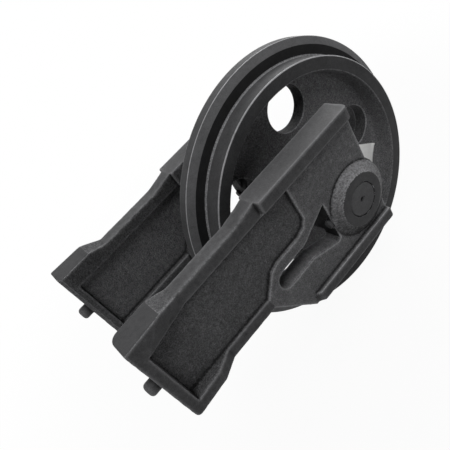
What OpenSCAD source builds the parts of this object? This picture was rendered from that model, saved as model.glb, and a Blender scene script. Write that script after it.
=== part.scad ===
// Front idler of a crawler excavator: a cast guide wheel that turns on oil-bathed
// bushes and a fixed shaft, carried by a pair of sliding bracket castings.
// X points to the front of the machine, Y to its left and Z up.
// The origin is the middle of the shaft, so every place across the machine is a
// distance from the wheel's middle plane, the same to both sides. Millimetres.

/* [Wheel] */
// Radius of the two treads that the track links run on
tread_r = 200; // [190:1:220]
// Height of the middle flange above the treads
flange_h = 28.5; // [24:0.5:34]
// Height of the flange's upright wall, below its bevel
flange_wall_h = 16.5; // [10:0.5:20]
// Width of the middle flange at the treads
flange_base_w = 33; // [30:1:40]
// Width of the middle flange at its top
flange_top_w = 17; // [12:1:24]
// Width across the two treads
rim_w = 94; // [88:1:100]
// Thickness of the rim at its open side
rim_wall = 21; // [18:1:28]
// Extra thickness of the rim down at the web, from the casting's draft
rim_draft = 4; // [2:0.5:8]
// Bevel on the rim's outer edges
rim_bevel = 1.5; // [0.5:0.25:3]
// Thickness of the web between the holes
web_t = 24; // [18:1:30]
// Radius of the cast fillets beside the web
web_fillet = 10; // [6:1:12]
// Radius of the lightening holes
hole_r = 36.5; // [30:0.5:38]
// Number of lightening holes
hole_count = 5; // [4:1:5]
// Web left between a lightening hole and the rim
hole_edge = 5; // [4:0.5:10]
// Bevel around the lightening holes
hole_bevel = 1.5; // [1:0.5:3]
// Angle of the first lightening hole, up from the front
hole_turn = 75; // [60:1:90]
// Length of the hub
hub_len = 144; // [140:1:152]
// Wall of the hub around its seals
hub_wall = 10; // [8:0.5:13]

/* [Shaft and bushes] */
// Radius of the shaft
shaft_r = 25.5; // [24:0.5:27]
// Wall of a bush
bush_wall = 5; // [4:0.5:6]
// Thickness of a bush's thrust flange
bush_flange_t = 4; // [3:0.5:5]
// How far the thrust flange stands out from the bush
bush_flange_h = 6.5; // [5:0.5:8]
// How far the thrust flange lies inside the hub's end
bush_sink = 2; // [1:0.25:3]
// Half of the oil space between the two bushes
oil_gap = 10; // [6:0.5:14]
// Depth of the oil space in the hub
oil_depth = 5; // [3:0.5:7]
// Radius of the drilled oil way
oil_way_r = 5; // [4:0.25:5.5]
// Radius of the centre drilling in the right end of the shaft
centre_r = 3; // [2:0.25:4]
// Depth of the centre drilling
centre_depth = 9; // [6:0.5:14]
// Bevel on the shaft's ends
shaft_bevel = 1.2; // [0.5:0.1:2]

/* [Seals] */
// Clear space between the bracket's nose and the seal rings
seal_clear = 2; // [1.5:0.25:3]
// Wall of a seal ring's sleeve
seal_sleeve = 3; // [2.5:0.25:4]
// Length of a seal ring
seal_len = 11; // [10:0.25:12]
// Thickness of a seal ring's face flange
seal_flange_t = 2.5; // [2:0.25:3]
// Radius of a toric rubber ring's section
toric_r = 3.9; // [3.5:0.05:4]
// Space between the two hub and bracket faces beside the seals
face_gap = 1; // [0.6:0.1:2]
// Space at the bottom of a seal's housing
seal_floor = 1; // [0.5:0.25:2]
// Radius of the section of a shaft's rubber ring
oring_r = 1.45; // [1.2:0.05:1.7]
// Place of a shaft's rubber ring from the bracket's inner face
oring_in = 8; // [6:0.5:10]

/* [Bracket body] */
// Height of the bracket's inner boss at the seals
inner_boss_h = 14; // [13:0.5:18]
// Thickness of the bracket's arm
arm_t = 31; // [28:1:36]
// Reach of the arm to the front
arm_front = 43; // [40:1:46]
// Height of the front guide rail's top face above the shaft
rail_z = 139; // [134:1:144]
// Thickness of the front guide rail
rail_t = 20; // [16:1:24]
// How far the rail stands out from the arm
rail_proud = 10.5; // [8:0.5:13]
// Length of the front guide rail to the rear of the shaft
rail_rear = 143; // [138:1:150]
// Length of the slope behind the rail
rail_slope = 40; // [34:1:46]
// Drop of the waist between the rail and the rear pad
waist_drop = 7; // [5:0.5:9]
// Inward step of the bracket's inner face behind the rail
waist_step = 5; // [3:0.5:7]
// Reach of the bracket to the rear of the shaft
rear_reach = 377; // [370:1:385]
// Height of the rear pad's top face above the shaft
pad_z = 141.5; // [139:0.5:146]
// Length of the rear pad
pad_len = 59; // [54:1:64]
// Length of the slope in front of the rear pad
pad_slope = 28; // [24:1:34]
// How far the rear end stands out from the arm
pad_proud = 18.5; // [16:0.5:21]
// How much less the front of the rear pad stands out
pad_taper = 5; // [3:0.5:7]
// Rounding of the rear end's inner corner
rear_round = 13; // [9:0.5:13.5]
// Thickness of the rear end plate
end_t = 16; // [14:0.5:19]
// Depth of the body's underside below the shaft
belly_z = 15; // [14:0.5:19]
// Rounding of the body's lower rear corner
belly_round = 8; // [5:0.5:11]
// Thickness of the body's upper flange at the waist
top_flange_t = 20; // [17:0.5:23]
// Thickness of the body's lower flange
low_flange_t = 20; // [17:0.5:23]
// Depth of the outer panel below the arm's outer face
panel_out = 5.5; // [4:0.5:7]
// Thickness of the panel
panel_t = 9.5; // [8:0.5:12]
// Where the outer panel ends, to the rear of the shaft
panel_front = 94; // [91:1:98]
// Where the inner panel ends, to the rear of the shaft
inner_panel_front = 125; // [118:1:135]
// Height of the rim above the slot
slot_rim = 20; // [16:0.5:23]

/* [Bracket foot and boss] */
// Depth of the foot's underside below the shaft
foot_z = 82; // [80:1:88]
// Thickness of the foot's flange
foot_t = 19; // [16:0.5:20]
// How far the foot's flange stands out from the arm
foot_proud = 8; // [6:0.5:10]
// Reach of the foot to the rear of the shaft
foot_rear = 143; // [138:1:146]
// Where the sloping underside leaves the foot, to the rear of the shaft
foot_run = 148; // [147:1:152]
// Where the sloping underside meets the body, to the rear of the shaft
foot_slope_rear = 204; // [200:1:212]
// Radius of the boss at its end face
boss_r = 40.5; // [38:0.5:43]
// Radius of the boss at the arm
boss_base_r = 57.5; // [54:0.5:60]
// Height of the boss
boss_h = 11; // [9:0.5:14]
// Bevel on the boss's end
boss_bevel = 1.5; // [0.5:0.25:2.5]
// Half the height of the slot's rear end
slot_r = 15.5; // [13:0.5:17]
// Middle of the slot's rear end, to the rear of the shaft
slot_rear = 162; // [158:1:166]
// Height of the slot's middle line above the shaft
slot_z = 4; // [2:0.5:6]
// Where the slot starts to widen at its top, to the rear of the shaft
slot_bend_top = 114; // [110:1:124]
// Where the slot starts to widen below, to the rear of the shaft
slot_bend_low = 111; // [105:1:117]
// Height of the window's top corner above the shaft
window_top = 44; // [41:1:48]
// Depth of the window's lower corner below the shaft
window_low = 32; // [30:1:36]
// Width of the arm behind the shaft, up to the window
column = 57; // [55:0.5:60]

/* [Pins and plug] */
// Radius of a lock pin
pin_r = 7; // [6:0.25:7.5]
// Depth of a lock pin below the arm's outer face
pin_depth = 9; // [8:0.5:12]
// How deep a lock pin goes into the shaft
pin_sink = 11; // [9:0.5:12]
// How far a lock pin shows in the window
pin_show = 4; // [3:0.5:7]
// Bevel around a lock pin's bore
pin_mouth = 2.5; // [1.5:0.25:3]
// Bevel on a lock pin's ends
pin_bevel = 1; // [0.5:0.25:1.5]
// Radius of a rear dowel
dowel_r = 10; // [9:0.25:11]
// How far a rear dowel stands out of the end plate
dowel_show = 16.5; // [14:0.5:19]
// How deep a rear dowel sits in the end plate
dowel_deep = 12; // [10:0.5:13]
// How much thicker a rear dowel is in the end plate, on the radius
dowel_step = 2; // [1:0.25:3]
// Height of the rear dowels above the shaft
dowel_z = 62; // [56:1:68]
// Bevel on a rear dowel's end
dowel_bevel = 2.5; // [1.5:0.25:3.5]
// Radius of the oil plug's thread
plug_r = 8; // [7:0.25:9]
// Length of the oil plug's thread
plug_len = 14; // [11:0.5:17]
// Radius of the oil plug's head
plug_head_r = 11; // [10:0.25:12]
// Height of the oil plug's head
plug_head_h = 6; // [5:0.5:7]
// Size of the oil plug's hexagon socket across its corners
plug_hex = 9.2; // [8:0.2:10]
// Thickness of the plug's sealing washer
washer_t = 1.5; // [1:0.25:2]

/* [Fits] */
// Running clearance of the bushes on the shaft, on the radius
run_gap = 0.05; // [0.02:0.01:0.1]
// Clearance of a seated piece in its bore, on the radius
seat_gap = 0.03; // [0.01:0.01:0.05]
// End play between a bush's flange and the bracket's nose
thrust_gap = 0.4; // [0.3:0.05:0.8]
// Clearance between the two lapped faces of a seal
lap_gap = 0.05; // [0.02:0.01:0.1]

/* [Hidden] */
$fn = 96;
cut = 0.5;

// Colours of the painted castings, the steel and the rubber
paint = [0.10, 0.10, 0.105];
steel = [0.55, 0.56, 0.58];
bronze = [0.62, 0.47, 0.24];
copper = [0.72, 0.40, 0.24];
rubber = [0.05, 0.05, 0.05];

// Radii of the bushes and seals, from the shaft outwards
bush_r = shaft_r + run_gap;
bush_out_r = bush_r + bush_wall;
bush_flange_r = bush_out_r + bush_flange_h;
seal_r = bush_flange_r + seal_clear;
sleeve_r = seal_r + seal_sleeve;
seal_bore_r = sleeve_r + 2 * (toric_r + seat_gap);
seal_flange_r = seal_bore_r - seal_clear;
hub_r = seal_bore_r + hub_wall;

// Places across the machine, from the middle plane outwards
hub_y = hub_len / 2;
bush_y = hub_y - bush_sink;
land_y = bush_y - bush_flange_t;
nose_y = bush_y + thrust_gap;
lap_y = hub_y + face_gap / 2;
inner_boss_y = hub_y + face_gap;
arm_in = inner_boss_y + inner_boss_h;
waist_in = arm_in + waist_step;
arm_out = arm_in + arm_t;
panel_y = arm_out - panel_out;
rail_y = arm_out + rail_proud;
pad_y = arm_out + pad_proud;
boss_y = arm_out + boss_h;
pin_y = arm_out - pin_depth;
dowel_y = (waist_in + pad_y) / 2;
oring_y = arm_in + oring_in;

// Radii of the wheel
rim_in_r = tread_r - rim_wall;
rim_root_r = rim_in_r - rim_draft;
hole_ring_r = rim_root_r - hole_edge - hole_r;

// Heights and places along the bracket
waist_z = rail_z - waist_drop;
waist_low_z = waist_z - top_flange_t;
floor_z = low_flange_t - belly_z;
pad_front_x = pad_len - rear_reach;
waist_rear_x = pad_front_x + pad_slope;
end_x = end_t - rear_reach;
rim_z = slot_z + slot_r + slot_rim;
rim_rear_x = -slot_rear - slot_r;
pin_rear_x = -column - pin_show;
pin_front_x = pin_sink - shaft_r;

// Points along an arc in the plane, from one angle to another
function arc(x, y, r, from, to, steps = 6) =
    [for (i = [0 : steps]) [x + r * cos(from + (to - from) * i / steps),
                            y + r * sin(from + (to - from) * i / steps)]];

// Turns a section of radius and place across the machine about the shaft
module turned() {
    rotate([-90, 0, 0]) rotate_extrude() children();
}

// A ring of rectangular section about the shaft
module ring(inner, outer, from, to) {
    turned() polygon([[inner, from], [outer, from], [outer, to], [inner, to]]);
}

// A solid bar of round section about the shaft, bevelled at its outer end
module bar(r, from, to, bevel) {
    turned() polygon([[0, from], [r, from], [r, to - bevel], [r - bevel, to], [0, to]]);
}

// A side view, given some thickness across the machine
module slab(from, to) {
    translate([0, to, 0]) rotate([90, 0, 0]) linear_extrude(to - from) children();
}

// A top view, given some height
module layer(from, to) {
    translate([0, 0, from]) linear_extrude(to - from) children();
}

// A pin along X, bevelled at its rear end
module pin_x(r, rear, front, bevel) {
    section = [[0, rear], [r - bevel, rear], [r, rear + bevel], [r, front], [0, front]];
    rotate([0, 90, 0]) rotate_extrude() polygon(section);
}

// Puts a piece that is drawn for the left on the left or the right side
module side(left) {
    mirror([0, left ? 0 : 1, 0]) children();
}

// Half of the wheel's section, from its middle plane to the left
module wheel_half_section() {
    half_w = rim_w / 2;
    half_web = web_t / 2;
    draft = atan2(rim_draft, half_w - half_web);
    // Centres of the fillets beside the web
    in_y = half_web + web_fillet;
    rim_c = rim_in_r - rim_draft * (half_w - in_y) / (half_w - half_web) - web_fillet / cos(draft);
    hub_c = hub_r + web_fillet;
    outline = concat(
        [[bush_out_r + oil_depth, 0],
         [bush_out_r + oil_depth, oil_gap],
         [bush_out_r + seat_gap, oil_gap],
         [bush_out_r + seat_gap, land_y],
         [seal_r - seal_clear / 4, land_y],
         [seal_r - seal_clear / 4, lap_y - seal_len - seal_floor],
         [seal_bore_r, lap_y - seal_len - seal_floor],
         [seal_bore_r, hub_y],
         [hub_r, hub_y]],
        arc(hub_c, in_y, web_fillet, 180, 270),
        arc(rim_c, in_y, web_fillet, 270, 360 + draft),
        [[rim_in_r, half_w],
         [tread_r - rim_bevel, half_w],
         [tread_r, half_w - rim_bevel],
         [tread_r, flange_base_w / 2],
         [tread_r + flange_wall_h, flange_base_w / 2 - flange_wall_h / 10],
         [tread_r + flange_h, flange_top_w / 2],
         [tread_r + flange_h, 0]]);
    polygon(outline);
}

module wheel_half() {
    turned() wheel_half_section();
}

// One lightening hole with a bevel at both faces of the web
module wheel_hole() {
    half_web = web_t / 2;
    bevel_r = hole_r + hole_bevel + cut;
    top = half_web + web_fillet;
    section = [[0, 0], [hole_r, 0], [hole_r, half_web - hole_bevel], [bevel_r, half_web + cut],
               [bevel_r, top], [0, top]];
    translate([hole_ring_r, 0, 0]) {
        turned() polygon(section);
        mirror([0, 1, 0]) turned() polygon(section);
    }
}

module idler_wheel() color(paint) {
    difference() {
        union() {
            wheel_half();
            mirror([0, 1, 0]) wheel_half();
        }
        for (i = [0 : hole_count - 1])
            rotate([0, -hole_turn - i * 360 / hole_count, 0]) wheel_hole();
    }
}

module bush(left) color(bronze) {
    side(left) turned() polygon([
        [bush_r, oil_gap], [bush_out_r, oil_gap], [bush_out_r, land_y],
        [bush_flange_r, land_y], [bush_flange_r, bush_y], [bush_r, bush_y]]);
}

// A lapped seal ring, a sleeve with a flange at its lapped face, drawn for the hub
module seal_ring() {
    face = lap_y - lap_gap / 2;
    turned() polygon([
        [seal_r, lap_y - seal_len], [sleeve_r, lap_y - seal_len], [sleeve_r, face - seal_flange_t],
        [seal_flange_r, face - seal_flange_t], [seal_flange_r, face], [seal_r, face]]);
}

// A rubber ring of round section between a seal ring and its housing, drawn for the hub
module toric() {
    middle = lap_y - seal_len + toric_r;
    turned() translate([sleeve_r + seat_gap + toric_r, middle]) circle(toric_r);
}

// The same piece on the bracket's side of the lapped faces
module bracket_side() {
    translate([0, lap_y, 0]) mirror([0, 1, 0]) translate([0, -lap_y, 0]) children();
}

module hub_seal_ring(left) color(steel) side(left) seal_ring();

module hub_toric(left) color(rubber) side(left) toric();

module bracket_seal_ring(left) color(steel) side(left) bracket_side() seal_ring();

module bracket_toric(left) color(rubber) side(left) bracket_side() toric();

// The groove in the shaft for a rubber ring
module oring_groove() {
    half = oring_r + seat_gap;
    ring(shaft_r - 2 * oring_r, shaft_r + cut, oring_y - half, oring_y + half);
}

module shaft_o_ring(left) color(rubber) {
    side(left) turned() translate([shaft_r - oring_r, oring_y]) circle(oring_r - seat_gap);
}

module lock_pin(left) color(paint) {
    side(left) translate([0, pin_y, 0]) pin_x(pin_r, pin_rear_x, pin_front_x, pin_bevel);
}

// The bore for a lock pin, through the bracket's column and into the shaft
module lock_pin_bore() {
    bore = pin_r + seat_gap;
    section = [[0, -column - cut], [bore + pin_mouth + cut, -column - cut], [bore, pin_mouth - column],
               [bore, pin_front_x + cut], [0, pin_front_x + cut]];
    translate([0, pin_y, 0]) rotate([0, 90, 0]) rotate_extrude() polygon(section);
}

// The shaft's half, from its middle to its left end
module shaft_half() {
    difference() {
        bar(shaft_r, 0, boss_y, shaft_bevel);
        oring_groove();
        lock_pin_bore();
    }
}

module shaft() color(paint) {
    head_y = boss_y - plug_head_h - washer_t;
    difference() {
        union() {
            shaft_half();
            side(false) shaft_half();
        }
        // Oil way with its cross drilling and the seat of the plug
        bar(oil_way_r, -oil_way_r, boss_y, 0);
        cylinder(h = shaft_r + cut, r = oil_way_r - 1);
        bar(plug_r + seat_gap, head_y - plug_len - cut, boss_y, 0);
        bar(plug_head_r + seat_gap, head_y, boss_y + cut, 0);
        // Centre drilling in the right end
        side(false) turned() polygon([
            [0, boss_y - centre_depth - centre_r], [centre_r, boss_y - centre_depth],
            [centre_r, boss_y - centre_r], [2 * centre_r, boss_y + cut], [0, boss_y + cut]]);
    }
}

module oil_plug() color(paint) {
    head_y = boss_y - plug_head_h;
    difference() {
        union() {
            bar(plug_r, head_y - washer_t - plug_len, head_y, 0);
            bar(plug_head_r, head_y, boss_y, shaft_bevel);
        }
        slab(head_y + 1, boss_y + cut) circle(d = plug_hex, $fn = 6);
    }
}

module oil_plug_washer() color(copper) {
    head_y = boss_y - plug_head_h;
    ring(plug_r + seat_gap, plug_head_r - seat_gap, head_y - washer_t, head_y);
}

module rear_dowel(left) color(paint) {
    side(left) translate([-rear_reach, dowel_y, dowel_z]) {
        pin_x(dowel_r, -dowel_show, cut, dowel_bevel);
        pin_x(dowel_r + dowel_step, 0, dowel_deep, 0);
    }
}

// Side view of the whole bracket
module bracket_outline() {
    polygon(concat(
        [[arm_front, rail_z], [-rail_rear, rail_z], [-rail_rear - rail_slope, waist_z],
         [waist_rear_x, waist_z], [pad_front_x, pad_z], [-rear_reach, pad_z]],
        arc(belly_round - rear_reach, belly_round - belly_z, belly_round, 180, 270),
        [[-foot_slope_rear, -belly_z], [-foot_run, -foot_z], [arm_front, -foot_z]]));
}

// Side view of the outer panel, which runs above the slot and its rim
module outer_panel() {
    corner = slot_r;
    polygon([
        [end_x, floor_z], [end_x, waist_low_z], [-panel_front, waist_low_z],
        [-panel_front, rim_z + corner], [-panel_front - corner / 2, rim_z + corner / 3],
        [-panel_front - corner * 1.5, rim_z], [rim_rear_x + corner, rim_z],
        [rim_rear_x, rim_z - corner / 3], [-foot_slope_rear, floor_z]]);
}

// Side view of the inner panel
module inner_panel() {
    polygon([
        [end_x, floor_z], [end_x, waist_low_z], [-inner_panel_front, waist_low_z],
        [-inner_panel_front, rim_z], [rim_rear_x + slot_r, rim_z], [rim_rear_x, rim_z - slot_r / 3],
        [-foot_slope_rear, floor_z]]);
}

// Side view of the slot and the window beside the shaft
module slot_outline() {
    translate([-slot_rear, slot_z]) circle(slot_r);
    polygon([
        [-slot_rear, slot_z + slot_r], [-slot_bend_top, slot_z + slot_r], [-column, window_top],
        [-column, -window_low], [-slot_bend_low, slot_z - slot_r], [-slot_rear, slot_z - slot_r]]);
}

// Top view of the bracket's flanges behind the rail, rounded at the rear inner corner
module rear_plan() {
    polygon(concat(
        [[-rail_rear, arm_out], [-rail_rear, waist_in]],
        arc(rear_round - rear_reach, waist_in + rear_round, rear_round, 270, 180),
        [[-rear_reach, pad_y], [pad_front_x, pad_y - pad_taper], [waist_rear_x, arm_out]]));
}

// What stands out at the rear: the upper and lower flanges and the end plate
module rear_frame() {
    intersection() {
        layer(-belly_z - cut, pad_z + cut) rear_plan();
        slab(0, 2 * pad_y) difference() {
            bracket_outline();
            polygon([[end_x, floor_z], [end_x, waist_low_z], [0, waist_low_z], [0, floor_z]]);
        }
    }
}

// The arm and foot, as thick as the arm
module arm_plate() {
    front_part = [[-rail_rear, pad_z], [-rail_rear, rim_z], [-foot_slope_rear, rim_z],
                  [-foot_slope_rear, -foot_z], [arm_front, -foot_z], [arm_front, pad_z]];
    slab(arm_in, arm_out) intersection() {
        bracket_outline();
        polygon(front_part);
    }
}

module bracket_castings() {
    difference() {
        union() {
            arm_plate();
            // The body between the two panels
            slab(waist_in, arm_out) intersection() {
                bracket_outline();
                polygon([[end_x, -foot_z], [arm_front, -foot_z], [arm_front, pad_z], [end_x, pad_z]]);
            }
            rear_frame();
            // Guide rail along the top of the arm
            layer(rail_z - rail_t, rail_z)
                polygon([[-rail_rear, arm_in], [arm_front, arm_in], [arm_front, rail_y], [-rail_rear, rail_y]]);
            // Flange along the foot
            layer(-foot_z, foot_t - foot_z) polygon([
                [-foot_rear, arm_in], [arm_front, arm_in], [arm_front, arm_out + foot_proud],
                [foot_proud - foot_rear, arm_out + foot_proud], [-foot_rear, arm_out]]);
        }
        // Panels
        slab(panel_y, 2 * pad_y) outer_panel();
        slab(0, panel_y - panel_t) inner_panel();
    }
}

module bracket(left) color(paint) {
    housing_y = lap_y + seal_len + seal_floor;
    side(left) difference() {
        union() {
            bracket_castings();
            // Outer boss, and the inner boss that houses the seal
            turned() polygon([
                [0, arm_out - boss_h], [boss_base_r, arm_out - boss_h], [boss_base_r, arm_out],
                [boss_r, boss_y - boss_bevel], [boss_r - boss_bevel, boss_y], [0, boss_y]]);
            ring(0, hub_r, inner_boss_y, arm_in + cut);
            ring(0, bush_flange_r, nose_y, inner_boss_y + cut);
        }
        slab(0, 2 * pad_y) slot_outline();
        bar(shaft_r + seat_gap, 0, boss_y + cut, 0);
        // Housing of the seal
        ring(seal_r - seal_clear / 4, seal_bore_r, inner_boss_y - cut, housing_y);
        lock_pin_bore();
        translate([-rear_reach, dowel_y, dowel_z])
            pin_x(dowel_r + dowel_step + seat_gap, -cut, dowel_deep + cut, 0);
    }
}

module bush_right() bush(false);

module bush_left() bush(true);

module bracket_right() bracket(false);

module bracket_left() bracket(true);

idler_wheel();
bush_right();
bush_left();
hub_seal_ring(false);  // hub_seal_ring_right
hub_seal_ring(true);  // hub_seal_ring_left
hub_toric(false);  // hub_toric_right
hub_toric(true);  // hub_toric_left
shaft();
bracket_seal_ring(false);  // bracket_seal_ring_right
bracket_seal_ring(true);  // bracket_seal_ring_left
bracket_toric(false);  // bracket_toric_right
bracket_toric(true);  // bracket_toric_left
shaft_o_ring(false);  // shaft_o_ring_right
shaft_o_ring(true);  // shaft_o_ring_left
bracket_right();
bracket_left();
lock_pin(false);  // lock_pin_right
lock_pin(true);  // lock_pin_left
rear_dowel(false);  // rear_dowel_right
rear_dowel(true);  // rear_dowel_left
oil_plug();
oil_plug_washer();
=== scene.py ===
import math

import bmesh
import bpy
import numpy as np
from mathutils import Matrix, Vector


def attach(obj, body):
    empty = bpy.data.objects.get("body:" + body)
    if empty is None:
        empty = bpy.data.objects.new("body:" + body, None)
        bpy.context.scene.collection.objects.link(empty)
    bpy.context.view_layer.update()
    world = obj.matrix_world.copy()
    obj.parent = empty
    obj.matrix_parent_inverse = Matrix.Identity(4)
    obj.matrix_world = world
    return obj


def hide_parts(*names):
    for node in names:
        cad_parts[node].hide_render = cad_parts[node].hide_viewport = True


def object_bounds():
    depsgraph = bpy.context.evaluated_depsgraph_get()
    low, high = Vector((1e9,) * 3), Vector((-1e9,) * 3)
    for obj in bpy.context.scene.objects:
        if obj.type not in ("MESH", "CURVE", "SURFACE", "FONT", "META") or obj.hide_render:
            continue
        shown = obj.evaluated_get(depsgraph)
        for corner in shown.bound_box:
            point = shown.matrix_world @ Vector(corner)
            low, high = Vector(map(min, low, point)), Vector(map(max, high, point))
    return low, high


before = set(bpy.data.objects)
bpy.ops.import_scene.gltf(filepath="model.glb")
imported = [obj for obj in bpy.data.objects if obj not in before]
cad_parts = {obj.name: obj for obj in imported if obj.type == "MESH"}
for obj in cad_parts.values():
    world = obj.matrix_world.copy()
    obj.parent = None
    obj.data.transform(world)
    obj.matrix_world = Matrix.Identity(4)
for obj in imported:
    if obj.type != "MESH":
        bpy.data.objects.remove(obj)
cad_low, cad_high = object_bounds()

# All sizes below are millimetres until a mesh is made
MM = 0.001

# Points closer than this are one point
MERGE = 0.02

# Steps around arcs, rounded corners and turned pieces, and the angles in degrees above which an edge is sharp
ARC_STEPS = 6
ROUND_STEPS = 5
WHEEL_STEPS = 240
HOLE_STEPS = 72
DOWEL_STEPS = 64
SLOT_STEPS = 12
CREASE = 35.0
CASTING_CREASE = 60.0

# The two brackets, with the way that each lies from the wheel's middle plane
SIDES = (("left", 1), ("right", -1))

# Wheel, as radii and half widths from its middle plane
TREAD_R = 200.0
FLANGE_R = 228.5
FLANGE_WALL_R = 216.5
FLANGE_ROOT = 16.5
FLANGE_SHOULDER = 14.85
FLANGE_TOP = 8.5
RIM_SIDE = 47.0
RIM_IN_R = 179.0
RIM_ROOT_R = 175.0
WEB_SIDE = 12.0
WEB_FILLET = 10.0
HUB_R = 59.91
HUB_SIDE = 72.0
SEAL_BORE_R = 49.91
SEAL_IN_R = 38.55
SEAL_FLOOR = 60.5
BUSH_SEAT_R = 30.58
BUSH_LAND = 66.0
HOLE_R = 36.5
HOLE_LIP = 1.5
HOLE_RING_R = 133.5
HOLE_COUNT = 5
HOLE_TURN = 75.0

# Roundings of the wheel's section, and its longest step along a straight stretch
SEAL_EDGE = 0.8
RIM_EDGE = 1.6
CAST_EDGE = 2.0
ROOT_FILLET = 2.5
SECTION_STEP = 7.0

# Bands of the wheel that have a finish of their own, among them painted shade around the hub, a painted
# highlight along the flange's root and wear with a painted highlight on its edge
RIM_LIP = 2.0
HUB_DARK = 2.0
ROOT_LINE = 2.0
ROOT_BACK = 0.5
FLANGE_EDGE = 0.8

# Paper label on the web: its upper front corner, its two directions and its size
LABEL_X = 163.0
LABEL_Z = -56.1
LABEL_ALONG = (-0.790, 0.613)
LABEL_DOWN = (-0.540, -0.842)
LABEL_W = 42.0
LABEL_H = 60.0
LABEL_T = 0.2
LABEL_LIFT = 0.3
LABEL_ROWS = 16

# Bracket, as places along the machine, heights, and places outwards from the middle plane
ARM_FRONT = 43.0
ARM_IN = 87.0
ARM_OUT = 118.0
RAIL_REAR = 143.0
RAIL_SLOPE = 40.0
RAIL_Z = 139.0
RAIL_T = 20.0
RAIL_OUT = 128.5
RAIL_ROUND = 8.0
WAIST_Z = 132.0
WAIST_IN = 92.0
WAIST_LOW_Z = 112.0
WAIST_REAR = 290.0
REAR = 377.0
REAR_ROUND = 13.0
END_T = 16.0
PAD_FRONT = 318.0
PAD_Z = 141.5
PAD_OUT = 136.5
PAD_TAPER = 5.0
PAD_LEAN = 0.24
PAD_DRAFT = 0.21
PAD_LAP = 1.0
BELLY_Z = 15.0
BELLY_ROUND = 8.0
FLOOR_Z = 5.0
PANEL_Y = 112.5
PANEL_T = 9.5
PANEL_FRONT = 94.0
INNER_PANEL_FRONT = 125.0
FOOT_Z = 82.0
FOOT_T = 19.0
FOOT_OUT = 126.0
FOOT_REAR = 143.0
FOOT_RUN = 148.0
SLOPE_REAR = 204.0
SLOT_R = 15.5
SLOT_REAR = 162.0
SLOT_Z = 4.0
SLOT_RIM_Z = 39.5
SLOT_BEND_TOP = 114.0
SLOT_BEND_LOW = 111.0
WINDOW_TOP = 44.0
WINDOW_LOW = 32.0
WINDOW_ROUND = 5.0
COLUMN = 57.0
BOSS_Y = 129.0
BOSS_R = 40.5
BOSS_BASE_R = 57.5
INNER_BOSS_Y = 73.0
INNER_BOSS_LAP = 5.0
NOSE_Y = 70.4
NOSE_R = 37.05
NOSE_LAP = 2.0
HOUSING_Y = 84.5
SHAFT_R = 25.5
SHAFT_GAP = 0.9
PIN_R = 7.0
PIN_GAP = 0.1
PIN_Y = 109.0
PIN_MOUTH = 2.5
PIN_MOUTH_LAP = 1.0

# Rear dowels
DOWEL_R = 10.0
DOWEL_OUT = 16.5
DOWEL_IN = 0.5
DOWEL_ROUND = 5.5
DOWEL_FILLET = 2.0
DOWEL_Y = 114.25
DOWEL_Z = 62.0

# Grid of the bracket's casting, the share of its faces that is kept, and its edge rounding
CELL = 1.25
MARGIN = 8.0
FRONT_MARGIN = 24.0
KEEP_FACES = 0.3
BLUR_REACH = 3.0
EDGE_BLUR = 0.95

# Broad rounding: its width, where it fades along the waist and above the panel, and its ring on the boss
WAIST_BLUR = 1.9
WAIST_FADE = 12.0
WAIST_START = 4.0
WAIST_RISE = 10.0
BOSS_EDGE_UP = 5.0
BOSS_EDGE_FADE = 3.0
BOSS_EDGE_W = 5.0
BOSS_EDGE_OUT = 2.0

# Rough skin of the casting, and how it fades beside machined faces
SKIN_SEED = 11
SKIN_BLUR = 2.2
SKIN_DEPTH = 0.10
SKIN_FADE = 3.0
SKIN_START = 0.3

# Name of the mesh values that mark outer edges, above 0, with wear and a painted highlight, and hollows,
# below 0, with painted shade
EDGE = "edge"

# Wear with a painted highlight along edges and painted shade in hollows, painted light and shade on the
# boss's cone, a painted shadow around its base, and wear with a painted highlight and painted shade on the
# dowels
WEAR_AND_SHADE_BLUR = 1.2
WEAR_AND_SHADE_GAIN = 1.7
EDGE_WEAR_AND_HIGHLIGHT = 0.4
HOLLOW_SHADE = 0.45
CONE_LIGHT = 0.36
CONE_LIGHT_TOWARDS = (0.15, 0.99)
CONE_START = 0.6
ROOT_SHADE = 0.3
ROOT_SHADE_W = 1.6
DOWEL_WEAR_AND_HIGHLIGHT = 0.3
DOWEL_SHADE = 0.4
DOWEL_SHADE_LAP = 0.1

# How near a face's middle lies to the plane that it belongs to, on a smooth face and on a rough one
NEAR = 1.0
NEAR_ROUGH = 2.0

# Parts of a face's normal that tell its kind
UP = 0.9
FOOT_UP = 0.7
SLOT_UP = 0.3
BOSS_FLAT = 0.93
SIDEWAYS = 0.8
WALL = 0.5


def arc(u, v, r, start, end, steps=ARC_STEPS):
    """Points along an arc in a plane, between two angles in degrees."""
    turn = [math.radians(start + (end - start) * i / steps) for i in range(steps + 1)]
    return [(u + r * math.cos(a), v + r * math.sin(a)) for a in turn]


def rounded(corners, steps=ROUND_STEPS):
    """A closed outline from (u, v, radius) corners, each rounded by its own radius."""
    outline = []
    for i, (u, v, r) in enumerate(corners):
        here = Vector((u, v))
        back = Vector(corners[i - 1][:2]) - here
        on = Vector(corners[(i + 1) % len(corners)][:2]) - here
        if r <= 0:
            outline.append((u, v))
            continue
        half = back.angle(on) / 2
        reach = r / math.tan(half)
        centre = here + (back.normalized() + on.normalized()).normalized() * (r / math.sin(half))
        first = here + back.normalized() * reach - centre
        last = here + on.normalized() * reach - centre
        sweep = first.angle_signed(last)
        for k in range(steps + 1):
            outline.append(tuple(centre + Matrix.Rotation(-sweep * k / steps, 2) @ first))
    return outline


def divided(outline, longest):
    """The same outline with its long stretches divided."""
    points = []
    for a, b in zip(outline, outline[1:] + outline[:1]):
        parts = max(1, math.ceil(math.dist(a, b) / longest))
        for k in range(parts):
            points.append((a[0] + (b[0] - a[0]) * k / parts, a[1] + (b[1] - a[1]) * k / parts))
    return points


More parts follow.
